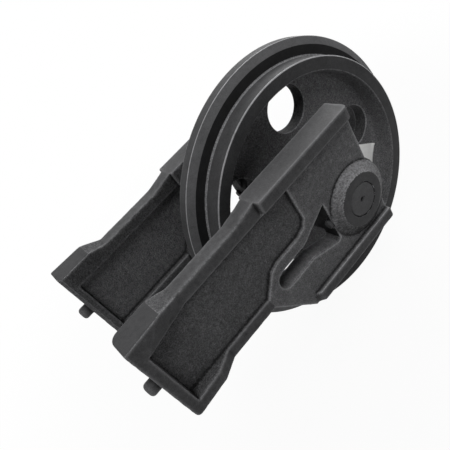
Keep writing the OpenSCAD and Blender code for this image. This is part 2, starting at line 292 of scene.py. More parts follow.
def add_mesh(name, points, faces, crease=CREASE):
    """A shaded mesh object from points in millimetres."""
    mesh = bpy.data.meshes.new(name)
    mesh.from_pydata([tuple(c * MM for c in p) for p in points], [], faces)
    mesh.validate()
    work = bmesh.new()
    work.from_mesh(mesh)
    bmesh.ops.remove_doubles(work, verts=work.verts, dist=MERGE * MM)
    loose = [e for e in work.edges if not e.link_faces]
    bmesh.ops.delete(work, geom=loose, context="EDGES")
    bmesh.ops.recalc_face_normals(work, faces=work.faces)
    work.to_mesh(mesh)
    work.free()
    mesh.shade_smooth()
    mesh.set_sharp_from_angle(angle=math.radians(crease))
    piece = bpy.data.objects.new(name, mesh)
    bpy.context.collection.objects.link(piece)
    return piece


def lathe(name, outline, place, steps):
    """Turns a closed outline of (radius, height) about an axis. place puts (height, u, v) in the frame."""
    points = []
    for i in range(steps):
        a = 2 * math.pi * i / steps
        points += [place(h, r * math.cos(a), r * math.sin(a)) for r, h in outline]
    n = len(outline)
    faces = []
    for i in range(steps):
        j = (i + 1) % steps
        for k in range(n):
            m = (k + 1) % n
            faces.append((i * n + k, i * n + m, j * n + m, j * n + k))
    return add_mesh(name, points, faces)


def finished(piece):
    """Turns a piece's modifiers into its mesh."""
    graph = bpy.context.evaluated_depsgraph_get()
    mesh = bpy.data.meshes.new_from_object(piece.evaluated_get(graph))
    piece.modifiers.clear()
    piece.data = mesh


def put(piece, body, slot, material, *replaced):
    """Dresses a piece, ties it to its body and hides the nodes that it stands for."""
    piece.data.materials.clear()
    piece.data.materials.append(material)
    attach(piece, body)
    if replaced:
        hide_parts(*replaced)


def dress_faces(piece, first, others, choose):
    """Gives each face of a piece the finish that is chosen for it. The piece has the first one already."""
    for finish in others:
        piece.data.materials.append(finish)
    order = {finish.name: i for i, finish in enumerate((first, *others))}
    for face in piece.data.polygons:
        face.material_index = order[choose(face).name]


# Materials

# Noise lies mostly between these two values
NOISE_LOW = 0.3
NOISE_HIGH = 0.7
NOISE_DETAIL = 3.0
NOISE_ROUGHNESS = 0.55

# Paint: its patches, how far they shift its shade, and its ramp from painted shade in hollows to worn edges
# with a painted highlight
BROAD_PATCH = 38.0
MID_PATCH = 7.0
SHEEN_PATCH = 9.0
PATCH_DETAIL = 4.0
BROAD_SHADE = (0.34, 0.44)
MID_SHADE = (-0.05, 0.05)
PAINT_RAMP = ((0.0, 0.2), (0.3, 0.8), (0.5, 1.2), (1.0, 3.0))
COARSE = 3.0
GRAIN_HEIGHT = 0.6

# Depth of the grain on smooth materials, and how cool a neutral grey is
FINE_DEPTH = 0.02
COOL = 1.03

# Paint over a casting, and over a machined face
CASTING = {"grain_mm": 1.9, "depth_mm": 1.6, "speckle": 0.25, "rough": (0.5, 0.7), "specular": 0.06}
MACHINED = {"grain_mm": 1.4, "depth_mm": 0.12, "speckle": 0.08, "rough": (0.42, 0.6), "specular": 0.06}


class Look:
    """A Principled material with short ways to add its nodes."""

    def __init__(self, name):
        self.material = bpy.data.materials.new(name)
        self.material.use_nodes = True
        self.tree = self.material.node_tree
        self.shader = self.tree.nodes["Principled BSDF"]
        self.place = self.tree.nodes.new("ShaderNodeTexCoord").outputs["Object"]

    def link(self, output, socket):
        self.tree.links.new(output, socket)

    def noise(self, size_mm, detail=NOISE_DETAIL):
        """Noise with features of about that size."""
        node = self.tree.nodes.new("ShaderNodeTexNoise")
        node.inputs["Scale"].default_value = 1 / (size_mm * MM)
        node.inputs["Detail"].default_value = detail
        node.inputs["Roughness"].default_value = NOISE_ROUGHNESS
        self.link(self.place, node.inputs["Vector"])
        return node.outputs["Fac"]

    def spread(self, value, low, high):
        """Noise mapped to another range."""
        node = self.tree.nodes.new("ShaderNodeMapRange")
        node.inputs["From Min"].default_value = NOISE_LOW
        node.inputs["From Max"].default_value = NOISE_HIGH
        node.inputs["To Min"].default_value = low
        node.inputs["To Max"].default_value = high
        self.link(value, node.inputs["Value"])
        return node.outputs["Result"]

    def sums(self, *values):
        """The sum of several values."""
        total = values[0]
        for value in values[1:]:
            node = self.tree.nodes.new("ShaderNodeMath")
            self.link(total, node.inputs[0])
            self.link(value, node.inputs[1])
            total = node.outputs["Value"]
        return total

    def attribute(self, name):
        """A value that the mesh stores at its points."""
        node = self.tree.nodes.new("ShaderNodeAttribute")
        node.attribute_name = name
        return node.outputs["Fac"]

    def shades(self, value, *stops):
        """A colour along a row of (position, colour) stops."""
        ramp = self.tree.nodes.new("ShaderNodeValToRGB")
        elements = ramp.color_ramp.elements
        while len(elements) < len(stops):
            elements.new(1)
        for element, (position, colour) in zip(elements, stops):
            element.position = position
            element.color = (*colour, 1)
        self.link(value, ramp.inputs["Fac"])
        self.link(ramp.outputs["Color"], self.shader.inputs["Base Color"])

    def sheen(self, value, low, high):
        """Roughness that varies between two values."""
        self.link(self.spread(value, low, high), self.shader.inputs["Roughness"])

    def relief(self, height, depth_mm):
        """Bump from a height that runs from 0 to 1 over that depth."""
        bump = self.tree.nodes.new("ShaderNodeBump")
        bump.inputs["Strength"].default_value = 1
        bump.inputs["Distance"].default_value = depth_mm * MM
        self.link(height, bump.inputs["Height"])
        self.link(bump.outputs["Normal"], self.shader.inputs["Normal"])


def grey(level):
    """A neutral colour, a little cool."""
    return (level, level, level * COOL)


def black_paint(name, tone, finish, edges=True, **changes):
    """Matt black paint over a casting or a machined face, with painted shade in hollows and wear with a
    painted highlight along edges.
    """
    values = {**finish, **changes}
    speckle = values["speckle"]
    look = Look(name)
    grain = look.noise(values["grain_mm"])
    coarse = look.noise(values["grain_mm"] * COARSE)
    broad = look.spread(look.noise(BROAD_PATCH, PATCH_DETAIL), *BROAD_SHADE)
    mid = look.spread(look.noise(MID_PATCH, PATCH_DETAIL), *MID_SHADE)
    shade = look.sums(broad, look.spread(grain, -speckle, speckle), mid)
    # The edge value adds wear with a painted highlight on edges and painted shade in hollows
    if edges:
        shade = look.sums(shade, look.attribute(EDGE))
    look.shades(shade, *[(position, grey(tone * level)) for position, level in PAINT_RAMP])
    look.sheen(look.noise(SHEEN_PATCH), *values["rough"])
    height = look.sums(look.spread(grain, 0, GRAIN_HEIGHT), look.spread(coarse, 0, GRAIN_HEIGHT))
    look.relief(height, values["depth_mm"])
    look.shader.inputs["Specular IOR Level"].default_value = values["specular"]
    return look.material


def smooth_look(name, colours, rough, patch, sheen, grain):
    """A smooth material with patches of two colours. Patch, sheen and grain are noise, as (size, detail)."""
    look = Look(name)
    look.shades(look.noise(*patch), (NOISE_LOW, colours[0]), (NOISE_HIGH, colours[1]))
    look.sheen(look.noise(*sheen), *rough)
    look.relief(look.noise(*grain), FINE_DEPTH)
    return look


def metal(name, dark, light, rough):
    """Bare metal with fine turning marks."""
    look = smooth_look(name, (dark, light), rough, patch=(6.0, 3), sheen=(4.0, 3), grain=(0.8, 2))
    look.shader.inputs["Metallic"].default_value = 1
    return look.material


def rubber():
    """Smooth black rubber."""
    tones = (grey(0.012), grey(0.03))
    look = smooth_look("rubber", tones, (0.45, 0.65), patch=(5.0, 3), sheen=(2.0, 2), grain=(0.6, 2))
    return look.material


def paper():
    """Plain off-white label paper with a clear coat."""
    whites = ((0.86, 0.86, 0.85), (0.93, 0.93, 0.92))
    look = smooth_look("paper", whites, (0.3, 0.45), patch=(7.0, 4), sheen=(3.0, 2), grain=(0.7, 3))
    look.shader.inputs["Specular IOR Level"].default_value = 1
    look.shader.inputs["Coat Weight"].default_value = 1
    look.shader.inputs["Coat Roughness"].default_value = 0.2
    return look.material


cast = black_paint("cast_paint", 0.086, CASTING, depth_mm=1.7, speckle=0.24)
# Darker copy on the bracket's inner faces: painted shade
inner_shade = black_paint("inner_cast_paint", 0.06, CASTING, depth_mm=1.7, speckle=0.24)
# Lighter copy on the arm's outer side and the inner panel: painted light
arm_lit = black_paint("arm_cast_paint", 0.122, CASTING, speckle=0.22)
# Lighter copy on the foot's top and the slot's floor: painted light
lit_tops = black_paint("foot_paint", 0.14, CASTING, depth_mm=0.8, speckle=0.15)
flange = black_paint("flange_paint", 0.062, CASTING, grain_mm=1.6, depth_mm=0.4, speckle=0.1)
web_cast = black_paint("web_cast_paint", 0.135, CASTING)
# Darker copy on the holes' walls and around the hub: painted shade
hole_shade = black_paint("hole_cast_paint", 0.07, CASTING)
# Light copy on the holes' lips and along the flange's root: painted highlight
lip_highlight = black_paint("lip_cast_paint", 0.24, CASTING, depth_mm=1.0)
rough_cast = black_paint("rough_cast_paint", 0.115, CASTING, grain_mm=2.6, depth_mm=1.8, rough=(0.45, 0.65),
                         specular=0.08)
machined = black_paint("machined_paint", 0.072, MACHINED, speckle=0.1, specular=0.08)
rim_face = black_paint("rim_face_paint", 0.05, MACHINED)
# Lighter copy on the flange's bevels: painted highlight
bevel_highlight = black_paint("bevel_paint", 0.115, MACHINED, specular=0.08)
boss_face = black_paint("boss_face_paint", 0.058, MACHINED, edges=False)
# Near-black copy in the flange's groove, the bracket's bore and its inner and slot walls: painted shade
painted_shade = black_paint("groove_paint", 0.02, MACHINED, specular=0.03)
# Light copy on the rim's and flange's outer edges: wear with a painted highlight
worn_highlight = black_paint("worn_paint", 0.36, MACHINED, grain_mm=2.2, depth_mm=0.1, speckle=0.1, rough=(0.35, 0.55),
                   specular=0.2)
seal_steel = metal("seal_steel", (0.42, 0.43, 0.45), (0.58, 0.59, 0.61), (0.18, 0.3))
bronze = metal("bronze", (0.50, 0.36, 0.17), (0.66, 0.50, 0.27), (0.25, 0.4))
copper = metal("copper", (0.62, 0.32, 0.18), (0.78, 0.45, 0.29), (0.25, 0.4))
black_rubber = rubber()


# Wheel


def across(h, u, v):
    """Places a point that is turned about the shaft."""
    return (u, h, v)


def wheel_section():
    """The wheel's closed section as (radius, place across), with its edges rounded."""
    half = [(BUSH_SEAT_R, BUSH_LAND, 0), (SEAL_IN_R, BUSH_LAND, 0), (SEAL_IN_R, SEAL_FLOOR, 0),
            (SEAL_BORE_R, SEAL_FLOOR, 0), (SEAL_BORE_R, HUB_SIDE, SEAL_EDGE), (HUB_R, HUB_SIDE, CAST_EDGE),
            (HUB_R, WEB_SIDE, WEB_FILLET), (RIM_ROOT_R, WEB_SIDE, WEB_FILLET),
            (RIM_IN_R, RIM_SIDE, CAST_EDGE), (TREAD_R, RIM_SIDE, RIM_EDGE),
            (TREAD_R, FLANGE_ROOT, ROOT_FILLET),
            (FLANGE_WALL_R, FLANGE_SHOULDER, CAST_EDGE), (FLANGE_R, FLANGE_TOP, CAST_EDGE)]
    other = [(r, -y, edge) for r, y, edge in reversed(half)]
    return divided(rounded(half + other), SECTION_STEP)


def hole_cutter(index):
    """One lightening hole, with its rounded lips."""
    turn = math.radians(HOLE_TURN + index * 360 / HOLE_COUNT)
    x, z = HOLE_RING_R * math.cos(turn), HOLE_RING_R * math.sin(turn)
    wide = HOLE_R + HOLE_LIP
    top = WEB_SIDE + WEB_FILLET
    lip = arc(wide, WEB_SIDE - HOLE_LIP, HOLE_LIP, 180, 90)
    half = lip + [(wide, top), (0, top)]
    outline = half + [(r, -h) for r, h in reversed(half)]
    return lathe("hole_cutter", outline, lambda h, u, v: (x + u, h, z + v), HOLE_STEPS)


def wheel_finish(face):
    """The finish of a face of the wheel."""
    r = math.hypot(face.center.x, face.center.z) / MM
    y = abs(face.center.y) / MM
    turn = math.degrees(math.atan2(face.center.z, face.center.x)) - HOLE_TURN
    share = 360 / HOLE_COUNT
    off = math.radians((turn + share / 2) % share - share / 2)
    from_hole = math.hypot(r * math.cos(off) - HOLE_RING_R, r * math.sin(off))
    # Painted shade on the holes' walls and a painted highlight on their lips
    if from_hole < HOLE_R + HOLE_LIP:
        return hole_shade if y < WEB_SIDE - HOLE_LIP else lip_highlight
    # Wear with a painted highlight on the rim's and flange's outer edges
    rim_edge = r > TREAD_R - RIM_EDGE and y > RIM_SIDE - RIM_EDGE
    flange_edge = r > FLANGE_R - FLANGE_EDGE and y > FLANGE_TOP - FLANGE_EDGE
    if rim_edge or flange_edge:
        return worn_highlight
    # Painted shade around the hub
    if r < HUB_R + HUB_DARK:
        return hole_shade
    # Painted highlight along the flange's root
    at_tread = TREAD_R - ROOT_BACK < r < TREAD_R + ROOT_LINE
    if at_tread and FLANGE_ROOT - ROOT_BACK < y < FLANGE_ROOT + ROOT_LINE:
        return lip_highlight
    # Painted shade in the groove beside the flange
    if TREAD_R + NEAR < r < FLANGE_WALL_R - NEAR and y < FLANGE_ROOT + NEAR:
        return painted_shade
    # Painted highlight on the flange's bevels
    if r > FLANGE_WALL_R and y > FLANGE_TOP:
        return bevel_highlight
    if r < RIM_IN_R + RIM_LIP:
        return web_cast
    return rim_face if y > RIM_SIDE - NEAR else machined


def make_wheel():
    wheel = lathe("wheel_casting", wheel_section(), across, WHEEL_STEPS)
    cutters = [hole_cutter(i) for i in range(HOLE_COUNT)]
    for cutter in cutters:
        cut = wheel.modifiers.new("hole", "BOOLEAN")
        cut.object = cutter
        cut.solver = "MANIFOLD"
    finished(wheel)
    for cutter in cutters:
        bpy.data.objects.remove(cutter)
    wheel.data.shade_smooth()
    wheel.data.set_sharp_from_angle(angle=math.radians(CREASE))
    put(wheel, "wheel", "black_paint", web_cast, "idler_wheel")
    others = (machined, worn_highlight, painted_shade, hole_shade, lip_highlight, bevel_highlight, rim_face)
    dress_faces(wheel, web_cast, others, wheel_finish)


def label_point(along, down):
    """A point of the label, which follows the web and its fillet."""
    x = LABEL_X + along * LABEL_ALONG[0] + down * LABEL_DOWN[0]
    z = LABEL_Z + along * LABEL_ALONG[1] + down * LABEL_DOWN[1]
    climb = min(max(math.hypot(x, z) - (RIM_ROOT_R - WEB_FILLET), 0), WEB_FILLET)
    rise = WEB_FILLET - math.sqrt(WEB_FILLET ** 2 - climb ** 2)
    return (x, -WEB_SIDE - rise - LABEL_LIFT, z)


def make_label():
    """A blank paper label on the web."""
    n = LABEL_ROWS + 1
    points = []
    for i in range(n):
        for k in range(n):
            points.append(label_point(LABEL_W * i / LABEL_ROWS, LABEL_H * k / LABEL_ROWS))
    faces = []
    for i in range(LABEL_ROWS):
        for k in range(LABEL_ROWS):
            faces.append((i * n + k, i * n + k + 1, (i + 1) * n + k + 1, (i + 1) * n + k))
    label = add_mesh("paper_label", points, faces)
    sheet = label.modifiers.new("sheet", "SOLIDIFY")
    sheet.thickness = LABEL_T * MM
    sheet.offset = 0
    finished(label)
    label.data.materials.clear()
    label.data.materials.append(paper())
    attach(label, "wheel")


# Bracket casting


def polygon_distance(u, v, points):
    """Signed distance from every point of a plane to a closed outline, negative inside."""
    nearest = np.full(np.broadcast(u, v).shape, np.inf)
    inside = np.zeros(nearest.shape, bool)
    for (au, av), (bu, bv) in zip(points, points[1:] + points[:1]):
        eu, ev = bu - au, bv - av
        du, dv = u - au, v - av
        along = np.clip((du * eu + dv * ev) / (eu * eu + ev * ev), 0, 1)
        nearest = np.minimum(nearest, (du - along * eu) ** 2 + (dv - along * ev) ** 2)
        if ev:
            inside ^= ((av > v) != (bv > v)) & (du < eu * dv / ev)
    return np.where(inside, -1, 1) * np.sqrt(nearest)


def between(grid, low, high):
    """Distance to a slab between two planes, negative inside."""
    return np.maximum(low - grid, grid - high)


def both(*fields):
    """What lies in all of several shapes, as distances."""
    result = fields[0]
    for field in fields[1:]:
        result = np.maximum(result, field)
    return result


def either(*fields):
    """What lies in any of several shapes, as distances."""
    result = fields[0]
    for field in fields[1:]:
        result = np.minimum(result, field)
    return result


def fade(value):
    """A share that runs from 0 to 1 and stays there."""
    return np.clip(value, 0, 1)


def blurred(field, width):
    """A field of distances blurred over that many millimetres, which rounds the shape's edges."""
    reach = math.ceil(BLUR_REACH * width / CELL)
    weights = np.exp(-0.5 * (np.arange(-reach, reach + 1) * CELL / width) ** 2)
    weights /= weights.sum()
    for axis in range(3):
        ends = [(reach, reach) if a == axis else (0, 0) for a in range(3)]
        wide = np.pad(field, ends, mode="reflect", reflect_type="odd")
        parts = [np.take(wide, range(k, k + field.shape[axis]), axis) * w for k, w in enumerate(weights)]
        field = sum(parts)
    return field


def bracket_outline():
    """Side view of the whole bracket."""
    return ([(ARM_FRONT, RAIL_Z), (-RAIL_REAR, RAIL_Z), (-RAIL_REAR - RAIL_SLOPE, WAIST_Z),
             (-WAIST_REAR, WAIST_Z), (-PAD_FRONT, PAD_Z), (-REAR, PAD_Z)]
            + arc(BELLY_ROUND - REAR, BELLY_ROUND - BELLY_Z, BELLY_ROUND, 180, 270)
            + [(-SLOPE_REAR, -BELLY_Z), (-FOOT_RUN, -FOOT_Z), (ARM_FRONT, -FOOT_Z)])


def arm_outline():
    """Side view of the thick front part of the bracket."""
    return [(-RAIL_REAR, PAD_Z), (-RAIL_REAR, SLOT_RIM_Z), (-SLOPE_REAR, SLOT_RIM_Z), (-SLOPE_REAR, -FOOT_Z),
            (ARM_FRONT, -FOOT_Z), (ARM_FRONT, PAD_Z)]


def outer_panel():
    """Side view of the outer panel, above the slot and its rim."""
    turn = SLOT_R
    rim_rear = -SLOT_REAR - SLOT_R
    return [(END_T - REAR, FLOOR_Z), (END_T - REAR, WAIST_LOW_Z), (-PANEL_FRONT, WAIST_LOW_Z),
            (-PANEL_FRONT, SLOT_RIM_Z + turn), (-PANEL_FRONT - turn / 2, SLOT_RIM_Z + turn / 3),
            (-PANEL_FRONT - turn * 1.5, SLOT_RIM_Z), (rim_rear + turn, SLOT_RIM_Z),
            (rim_rear, SLOT_RIM_Z - turn / 3), (-SLOPE_REAR, FLOOR_Z)]


def inner_panel():
    """Side view of the inner panel."""
    rim_rear = -SLOT_REAR - SLOT_R
    return [(END_T - REAR, FLOOR_Z), (END_T - REAR, WAIST_LOW_Z), (-INNER_PANEL_FRONT, WAIST_LOW_Z),
            (-INNER_PANEL_FRONT, SLOT_RIM_Z), (rim_rear + SLOT_R, SLOT_RIM_Z),
            (rim_rear, SLOT_RIM_Z - SLOT_R / 3), (-SLOPE_REAR, FLOOR_Z)]


def slot_outline():
    """Side view of the slot and of the window beside the shaft."""
    return (arc(-SLOT_REAR, SLOT_Z, SLOT_R, 90, 270, SLOT_STEPS)
            + rounded([(-SLOT_BEND_LOW, SLOT_Z - SLOT_R, 0), (-COLUMN, -WINDOW_LOW, WINDOW_ROUND),
                       (-COLUMN, WINDOW_TOP, 0), (-SLOT_BEND_TOP, SLOT_Z + SLOT_R, 0)]))


def rear_plan():
    """Top view of the flanges behind the rail."""
    return ([(-RAIL_REAR, ARM_OUT), (-RAIL_REAR, WAIST_IN)]
            + arc(REAR_ROUND - REAR, WAIST_IN + REAR_ROUND, REAR_ROUND, 270, 180)
            + [(-REAR, PAD_OUT), (-PAD_FRONT, PAD_OUT - PAD_TAPER), (-WAIST_REAR, ARM_OUT)])


def rail_plan():
    """Top view of the rail."""
    return ([(-RAIL_REAR, RAIL_OUT), (-RAIL_REAR, ARM_IN), (ARM_FRONT, ARM_IN)]
            + arc(ARM_FRONT - RAIL_ROUND, RAIL_OUT - RAIL_ROUND, RAIL_ROUND, 0, 90))


def foot_plan():
    """Top view of the foot."""
    step = FOOT_OUT - ARM_OUT
    return [(-FOOT_REAR, ARM_IN), (ARM_FRONT, ARM_IN), (ARM_FRONT, FOOT_OUT), (step - FOOT_REAR, FOOT_OUT),
            (-FOOT_REAR, ARM_OUT)]


def bracket_field():
    """Distances around the left bracket on a grid, and the grid's three axes."""
    x = np.arange(-REAR - MARGIN, ARM_FRONT + FRONT_MARGIN, CELL)
    y = np.arange(NOSE_Y - MARGIN, PAD_OUT + MARGIN, CELL)
    z = np.arange(-FOOT_Z - MARGIN, PAD_Z + MARGIN, CELL)
    gx, gy, gz = x[:, None, None], y[None, :, None], z[None, None, :]
    r = np.hypot(gx, gz)

    def side_view(points):
        return polygon_distance(x[:, None], z[None, :], points)[:, None, :]

    def top_view(points):
        return polygon_distance(x[:, None], y[None, :], points)[:, :, None]

    outline = side_view(bracket_outline())
    arm = both(outline, side_view(arm_outline()), between(gy, ARM_IN, ARM_OUT))
    body = both(outline, END_T - REAR - gx, between(gy, WAIST_IN, ARM_OUT))
    hollow = both(between(gx, END_T - REAR, 0), between(gz, FLOOR_Z, WAIST_LOW_Z))
    flare = PAD_LEAN * (-WAIST_REAR - gx) + PAD_DRAFT * (gz - WAIST_LOW_Z)
    rear = both(top_view(rear_plan()), outline, -hollow)
    rear = both(rear, either(gy - ARM_OUT - flare, gz - WAIST_LOW_Z + PAD_LAP))
    rail = both(top_view(rail_plan()), between(gz, RAIL_Z - RAIL_T, RAIL_Z))
    foot = both(top_view(foot_plan()), between(gz, -FOOT_Z, FOOT_T - FOOT_Z))
    lean = (BOSS_BASE_R - BOSS_R) / (BOSS_Y - ARM_OUT)
    cone = (r - BOSS_R - (BOSS_Y - gy) * lean) / math.hypot(1, lean)
    boss = both(cone, r - BOSS_BASE_R, between(gy, ARM_OUT - (BOSS_Y - ARM_OUT), BOSS_Y))
    inner_boss = both(r - HUB_R, between(gy, INNER_BOSS_Y, ARM_OUT - INNER_BOSS_LAP))
    solid = either(arm, body, rear, rail, foot, boss, inner_boss)
    solid = both(solid, -both(side_view(outer_panel()), PANEL_Y - gy),
                 -both(side_view(inner_panel()), gy - PANEL_Y + PANEL_T), -side_view(slot_outline()))

    # Broad rounding along the waist's upper edges and the boss's rim, small rounding elsewhere
    waist = fade((WAIST_REAR + WAIST_FADE + gx) / WAIST_FADE)
    waist = waist * fade((-RAIL_REAR - WAIST_START - gx) / WAIST_FADE)
    waist = waist * fade((gz - WAIST_LOW_Z) / WAIST_RISE) + 0 * gy
    boss_ring = fade(1 - (np.abs(r - BOSS_R) - BOSS_EDGE_W) / BOSS_EDGE_OUT)
    boss_edge = fade((gy - ARM_OUT - BOSS_EDGE_UP) / BOSS_EDGE_FADE) * boss_ring
    broad = np.maximum(waist, boss_edge)
    solid = blurred(solid, EDGE_BLUR) * (1 - broad) + blurred(solid, WAIST_BLUR) * broad

    # Rough skin everywhere but on the machined rail, pad and boss faces
    skin = blurred(np.random.default_rng(SKIN_SEED).normal(size=solid.shape), SKIN_BLUR)
    skin *= SKIN_DEPTH / skin.std()
    smooth = np.minimum(np.abs(RAIL_Z - gz) + 0 * gx, np.abs(PAD_Z - gz) + np.maximum(gx + PAD_FRONT, 0))
    smooth = np.minimum(smooth + 0 * gy, np.abs(BOSS_Y - gy))
    solid = solid + skin * fade(smooth / SKIN_FADE - SKIN_START)

    nose = both(r - NOSE_R, between(gy, NOSE_Y, INNER_BOSS_Y + NOSE_LAP))
    housing = both(r - SEAL_BORE_R, SEAL_IN_R - r, gy - HOUSING_Y)
    pin_way = np.hypot(gy - PIN_Y, gz)
    mouth = pin_way - PIN_R - PIN_GAP - np.clip(PIN_MOUTH - COLUMN - gx, 0, PIN_MOUTH + PIN_MOUTH_LAP)
    pin_bore = both(mouth, between(gx, -COLUMN - MARGIN, 0))
    solid = both(either(solid, nose), -housing, SHAFT_R + SHAFT_GAP - r, -pin_bore)
    return solid, (x, y, z)


def surface(field, axes):
    """Points and four-sided faces of the surface where a field of distances passes zero."""
    inside = field < 0
    shape = [n - 1 for n in field.shape]
    total = np.zeros((*shape, 3))
    count = np.zeros(shape)
    crossings = []
    for axis in range(3):
        low = [slice(None)] * 3
        high = [slice(None)] * 3
        low[axis], high[axis] = slice(0, -1), slice(1, None)
        a, b = field[tuple(low)], field[tuple(high)]
        cross = inside[tuple(low)] != inside[tuple(high)]
        share = np.where(cross, a / np.where(cross, a - b, 1), 0)
        crossings.append(cross)
        spot = np.stack(np.meshgrid(*[np.arange(n, dtype=float) for n in cross.shape], indexing="ij"), -1)
        spot[..., axis] += share
        spot *= cross[..., None]
        others = [o for o in range(3) if o != axis]
        for first in (0, 1):
            for second in (0, 1):
                part = [slice(None)] * 3
                part[others[0]] = slice(first, first + shape[others[0]])
                part[others[1]] = slice(second, second + shape[others[1]])
                total += spot[tuple(part)]
                count += cross[tuple(part)]
    used = count > 0
    number = np.full(shape, -1)
    number[used] = np.arange(used.sum())
    points = total[used] / count[used][:, None]
    points = np.stack([axes[i][0] + points[:, i] * CELL for i in range(3)], -1)

    faces = []
    for axis, cross in enumerate(crossings):
        first, second = [(axis + 1) % 3, (axis + 2) % 3]
        cells = np.argwhere(cross)
        for side in (first, second):
            cells = cells[(cells[:, side] > 0) & (cells[:, side] < field.shape[side] - 1)]
        ring = []
        for d1, d2 in ((-1, -1), (0, -1), (0, 0), (-1, 0)):
            cell = cells.copy()
            cell[:, first] += d1
            cell[:, second] += d2
            ring.append(number[tuple(cell.T)])
        quads = np.stack(ring, -1)
        flip = ~inside[tuple(cells.T)]
        quads[flip] = quads[flip][:, ::-1]
        faces.append(quads)
    return points, np.concatenate(faces)


def bracket_finish(face):
    """The finish of a face of a bracket."""
    x, y, z = [c / MM for c in face.center]
    r = math.hypot(x, z)
    out = abs(y)
    up = face.normal.z
    sideways = abs(face.normal.y)
    on_rail = z > RAIL_Z - NEAR and x > -RAIL_REAR
    on_pad = z > PAD_Z - NEAR and x < -PAD_FRONT
    on_top = z > WAIST_Z - NEAR and -WAIST_REAR < x < -RAIL_REAR
    if up > UP and (on_rail or on_top or on_pad):
        return boss_face if on_pad else machined
    in_bore = r < SHAFT_R + SHAFT_GAP + NEAR and sideways < WALL
    # Painted shade on the inner faces and in the bore
    if out < ARM_IN - NEAR or in_bore:
        return painted_shade
    if r < BOSS_BASE_R + NEAR and out > ARM_OUT + CONE_START:
        return boss_face if sideways > BOSS_FLAT and out > BOSS_Y - NEAR else rough_cast
    along_slot = -SLOT_REAR - SLOT_R - NEAR < x < NEAR - COLUMN
    in_slot = along_slot and -WINDOW_LOW - NEAR < z < WINDOW_TOP + NEAR
    # In the slot: painted light on its floor, painted shade on its walls
    if in_slot and out < ARM_OUT - NEAR_ROUGH and sideways < WALL:
        return lit_tops if up > SLOT_UP else painted_shade
    # Painted light on the foot's top
    if up > FOOT_UP and out > ARM_OUT and z < FOOT_T - FOOT_Z + NEAR_ROUGH:
        return lit_tops
    # Behind the arm: painted light on the inner panel, painted shade on the inner faces around it
    if sideways > SIDEWAYS and out < PANEL_Y - PANEL_T + NEAR and x < -RAIL_REAR:
        return arm_lit if out > WAIST_IN + NEAR_ROUGH else inner_shade
    if sideways < SIDEWAYS or out < ARM_OUT - NEAR_ROUGH:
        return cast
    on_waist = x < -RAIL_REAR and z > WAIST_LOW_Z
    on_belly = x < -SLOPE_REAR and z < FLOOR_Z
    # Painted light on the arm's outer side
    return flange if out > ARM_OUT + NEAR_ROUGH or on_waist or on_belly else arm_lit


def mark_edges(mesh, bend, axes, sign):
    """Stores how far each point lies on an outer edge or in a hollow, as wear with a painted highlight or as
    painted shade, with painted light on the boss's cone and a painted shadow around its base.
    """
    flat = np.empty(len(mesh.vertices) * 3)
    mesh.vertices.foreach_get("co", flat)
    spots = flat.reshape(-1, 3) / MM * [1, sign, 1]
    cells = [(spots[:, i] - axes[i][0]) / CELL for i in range(3)]
    low = [np.clip(c.astype(int), 0, n - 2) for c, n in zip(cells, bend.shape)]
    share = [c - k for c, k in zip(cells, low)]
    value = np.zeros(len(spots))
    for corner in range(8):
        step = [corner >> i & 1 for i in range(3)]
        weight = np.prod([w if k else 1 - w for w, k in zip(share, step)], axis=0)
        value += weight * bend[tuple(n + k for n, k in zip(low, step))]
    # Wear with a painted highlight on outer edges, painted shade in hollows
    value = np.clip(value * WEAR_AND_SHADE_GAIN, -HOLLOW_SHADE, EDGE_WEAR_AND_HIGHLIGHT)
    x, y, z = spots.T
    r = np.hypot(x, z)
    # Painted light: the boss's cone is lighter where it faces up and a little forward, and darker where it
    # faces down
    facing = (z * CONE_LIGHT_TOWARDS[1] + x * CONE_LIGHT_TOWARDS[0]) / np.maximum(r, 1)
    value += np.where((r < BOSS_BASE_R) & (y > ARM_OUT + CONE_START), facing * CONE_LIGHT, 0)
    root = ROOT_SHADE * np.exp(-((r - BOSS_BASE_R) / ROOT_SHADE_W) ** 2)
    value -= np.where(y > ARM_OUT - NEAR, root, 0)
    layer = mesh.attributes.new(EDGE, "FLOAT", "POINT")
    layer.data.foreach_set("value", value)


def make_brackets():
    field, axes = bracket_field()
    bend = blurred(field, WEAR_AND_SHADE_BLUR) - field
    points, faces = surface(field, axes)
    for side, sign in SIDES:
        placed = points * [1, sign, 1]
        piece = add_mesh("bracket_%s_casting" % side, placed.tolist(), faces.tolist(), CASTING_CREASE)
        fewer = piece.modifiers.new("fewer", "DECIMATE")
        fewer.ratio = KEEP_FACES
        finished(piece)
        piece.data.shade_smooth()
        put(piece, "brackets", "black_paint", cast, "bracket_" + side)
        others = (machined, rough_cast, boss_face, flange, arm_lit, lit_tops, painted_shade, inner_shade)
        dress_faces(piece, cast, others, bracket_finish)
        mark_edges(piece.data, bend, axes, sign)


# Small pieces


def mark_dowel(mesh, sign):
    """Stores the wear with a painted highlight on a dowel's free end and the painted shade at its base."""
    layer = mesh.attributes.new(EDGE, "FLOAT", "POINT")
    for point, edge in zip(mesh.vertices, layer.data):
        out = -REAR - point.co.x / MM
        r = math.hypot(point.co.y / MM - sign * DOWEL_Y, point.co.z / MM - DOWEL_Z)
        # Painted shade at the dowel's base, wear with a painted highlight on the rest but its axis
        if out < DOWEL_FILLET + DOWEL_SHADE_LAP:
            edge.value = -DOWEL_SHADE
        elif r > NEAR:
            edge.value = DOWEL_WEAR_AND_HIGHLIGHT


